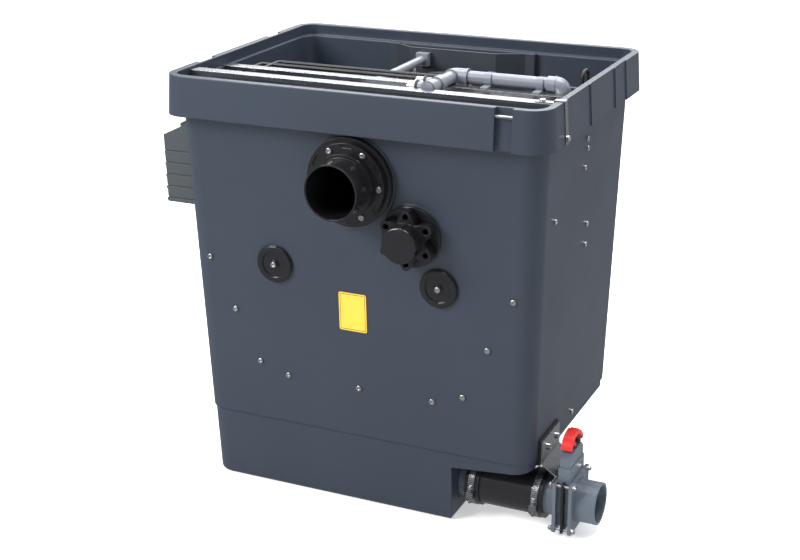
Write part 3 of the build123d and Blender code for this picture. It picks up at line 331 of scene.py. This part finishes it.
handleScrew = {"radius": .0072, "height": .004, "out": .0078, "rise": .013, "sides": 24}
low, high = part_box("valve_handle")
mesh = bmesh.new()
centre = ((low[0] + high[0]) / 2 + handleScrew["out"], (low[1] + high[1]) / 2,
          low[2] + handleScrew["rise"])
r, h = handleScrew["radius"], handleScrew["height"]
addTurned(mesh, [(0, 0), (r * .72, 0), (r * .72, h), (r, h), (r, h * 1.7), (r * .8, h * 2),
                 (r * .4, h * 2), (r * .4, h * 1.4), (0, h * 1.4)],
          facing(centre, (1, 0, 0)), handleScrew["sides"])
finishPiece("handleScrew", mesh, "softRubber", "gate")

handleRibs = {"count": 5, "pitch": .0085, "width": .0022, "inset": .002, "sink": .002,
              "proud": .0012, "top": .0007, "drop": .0008, "edge": .0005}
mesh = bmesh.new()
for i in range(handleRibs["count"]):
    step = i - (handleRibs["count"] - 1) // 2
    y = (low[1] + high[1]) / 2 + step * handleRibs["pitch"]
    lift = high[2] - handleRibs["top"] - step ** 2 * handleRibs["drop"]
    addBlock(mesh, (low[0] + handleRibs["inset"], y - handleRibs["width"] / 2,
                    lift - handleRibs["sink"]),
             (high[0] - handleRibs["inset"], y + handleRibs["width"] / 2,
              lift + handleRibs["proud"]), handleRibs["edge"])
finishPiece("handleRibs", mesh, "redHandle", "gate")
print("handle pieces made")

clampWidth = .015
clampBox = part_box("hose_clamps")
clampXs = (clampBox[0][0] + clampWidth / 2, clampBox[1][0] - clampWidth / 2)

wormHead = {"radius": .0052, "height": .005, "out": .0555, "top": .0062, "sink": .001,
            "sides": 6}
mesh = bmesh.new()
r, h, sink = wormHead["radius"], wormHead["height"], wormHead["sink"]
for clampX in clampXs:
    spot = facing((clampX, drainAxis[1] - wormHead["out"], drainAxis[2] + wormHead["top"]),
                  (0, 0, 1))
    addTurned(mesh, [(0, -sink), (r, -sink), (r, h * .8), (r * .85, h), (r * .25, h),
                     (r * .2, h * .6), (0, h * .6)], spot, wormHead["sides"])
finishPiece("wormHeads", mesh, "screwSteel", "tank")

bandTail = {"width": .013, "radius": .0521, "lift": .0022, "start": 190, "sweep": 46,
            "steps": 12, "thick": .0009}
mesh = bmesh.new()
for clampX in clampXs:
    rows = []
    for i in range(bandTail["steps"] + 1):
        share = i / bandTail["steps"]
        angle = math.radians(bandTail["start"] - bandTail["sweep"] * share)
        radius = bandTail["radius"] + bandTail["lift"] * share
        y = drainAxis[1] + radius * math.cos(angle)
        z = drainAxis[2] + radius * math.sin(angle)
        rows.append([(clampX + side * bandTail["width"] / 2, y, z) for side in (-1, 1)])
    corners = [[mesh.verts.new(p) for p in row] for row in rows]
    faces = [mesh.faces.new((a[0], a[1], b[1], b[0])) for a, b in zip(corners, corners[1:])]
    bmesh.ops.recalc_face_normals(mesh, faces=faces)
    bmesh.ops.solidify(mesh, geom=faces, thickness=bandTail["thick"])
finishPiece("bandTails", mesh, "bandSteel", "tank")
print("clamp pieces made")

plateScrews = {"radius": .0060, "washer": .0012, "neck": .004, "height": .0055,
               "recess": .003, "sides": 32,
               "places": ((.200, -.105), (.300, -.105), (.160, -.190), (.300, -.190))}
mesh = bmesh.new()
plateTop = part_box("rear_rail")[0][2]  # the plate lies under the rail's web
r, h, washer = plateScrews["radius"], plateScrews["height"], plateScrews["washer"]
for x, y in plateScrews["places"]:
    addTurned(mesh, [(0, 0), (r * 1.5, 0), (r * 1.5, washer), (r, washer),
                     (r, plateScrews["neck"]), (r * .8, h), (r * .45, h),
                     (r * .4, plateScrews["recess"]), (0, plateScrews["recess"])],
              facing((x, y, plateTop), (0, 0, 1)), plateScrews["sides"])
finishPiece("plateScrews", mesh, "softRubber", "tank")

motorFins = {"count": 9, "start": .052, "pitch": .0075, "radius": .026, "sink": .001,
             "thick": .0016, "proud": .0022}
low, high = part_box("gear_motor")
mesh = bmesh.new()
inner = motorFins["radius"] - motorFins["sink"]
outer = motorFins["radius"] + motorFins["proud"]
for i in range(motorFins["count"]):
    spot = ((low[0] + high[0]) / 2, low[1] + motorFins["start"] + i * motorFins["pitch"],
            (low[2] + high[2]) / 2)
    addTurned(mesh, [(inner, 0), (outer, 0), (outer, motorFins["thick"]),
                     (inner, motorFins["thick"]), (inner, 0)], facing(spot, (0, 1, 0)))
finishPiece("motorFins", mesh, "motorPaint", "tank")
print("inside pieces made")

fittingBeads = {"radius": .0158, "sink": .0014, "proud": .0009, "width": .004,
                "spots": (((.331, -.057, .8725), (1, 0, 0)),
                          ((.150, -.057, .8725), (1, 0, 0)),
                          ((.345, -.057, .8405), (0, 0, 1)))}
mesh = bmesh.new()
width = fittingBeads["width"]
inner = fittingBeads["radius"] - fittingBeads["sink"]
outer = fittingBeads["radius"] + fittingBeads["proud"]
for origin, direction in fittingBeads["spots"]:
    start = Vector(origin) + Vector(direction) * (-width / 2)
    addTurned(mesh, [(inner, 0), (outer, 0), (outer, width), (inner, width), (inner, 0)],
              facing(start, direction))
finishPiece("fittingBeads", mesh, "lightPvc", "tank")
print("pipe pieces made")

floor = {"size": 40, "bend": 3.6, "curve": 1.6, "arcStep": 9, "wall": 8, "sink": .0005,
         "glow": .45}
materials["studioFloor"] = makeMaterial("studioFloor", {
    "base": (.93, .93, .93), "shade": (.91, .91, .92), "rough": (.55, .65), "bump": .02,
    "coarse": 1, "gloss": .2})
mesh = bmesh.new()
half, bend, curve = floor["size"] / 2, floor["bend"], floor["curve"]
rows = [(-half, 0), (bend, 0)]
for degrees in range(floor["arcStep"], 91, floor["arcStep"]):
    angle = math.radians(degrees)
    rows.append((bend + curve * math.sin(angle), curve - curve * math.cos(angle)))
rows.append((bend + curve, floor["wall"]))
corners = [[mesh.verts.new((x, y, z - floor["sink"])) for x in (-half, half)] for y, z in rows]
for a, b in zip(corners, corners[1:]):
    mesh.faces.new((a[0], a[1], b[1], b[0]))
data = bpy.data.meshes.new("studioFloor")
mesh.to_mesh(data)
mesh.free()
for polygon in data.polygons:
    polygon.use_smooth = True
data.materials.append(materials["studioFloor"])
floorShader = next(n for n in materials["studioFloor"].node_tree.nodes
                   if n.type == "BSDF_PRINCIPLED")
floorShader.inputs["Emission Color"].default_value = (1, 1, 1, 1)
floorShader.inputs["Emission Strength"].default_value = floor["glow"]
backdrop = linkNew("studioFloor", data)
backdrop.visible_glossy = False  # keeps the bright wall out of reflections


def aimed(place, aim):
    turn = (Vector(aim) - Vector(place)).to_track_quat("-Z", "Y").to_matrix().to_4x4()
    return Matrix.Translation(Vector(place)) @ turn


def addLight(name, place, aim, size, power, color=(1, 1, 1)):
    lamp = bpy.data.lights.new(name, "AREA")
    lamp.shape = "RECTANGLE"
    lamp.size, lamp.size_y = size
    lamp.energy = power
    lamp.color = color
    linkNew(name, lamp).matrix_world = aimed(place, aim)


addLight("keySoftbox", (-2.6, -2.9, 3.0), (0, 0, .6), (2.0, 2.0), 235)
addLight("topSoftbox", (.2, .3, 3.4), (0, 0, .6), (3.0, 2.6), 190)
addLight("sideSoftbox", (3.4, 1.4, 2.2), (.1, 0, .45), (1.0, 2.0), 22, (.96, .98, 1))
addLight("backSoftbox", (-.8, 3.0, 2.6), (0, 0, .8), (3.0, 1.6), 60)
world = bpy.data.worlds.new("studioWorld")
world.use_nodes = True
sky = world.node_tree.nodes["Background"]
sky.inputs["Color"].default_value = (.95, .97, 1, 1)
sky.inputs["Strength"].default_value = .32
bpy.context.scene.world = world
print("stage and lights made")

shot = {"place": (1.2241, -2.7008, 1.5093), "aim": (-.0265, 0, .4042), "lens": 66.75,
        "sensor": 36, "roll": -.495}
camera = bpy.data.cameras.new("mainCamera")
camera.lens = shot["lens"]
camera.sensor_width = shot["sensor"]
holder = linkNew("mainCamera", camera)
holder.matrix_world = (aimed(shot["place"], shot["aim"]) @
                       Matrix.Rotation(math.radians(shot["roll"]), 4, "Z"))
bpy.context.scene.camera = holder
bpy.context.scene.view_settings.view_transform = "Standard"
print("camera placed")
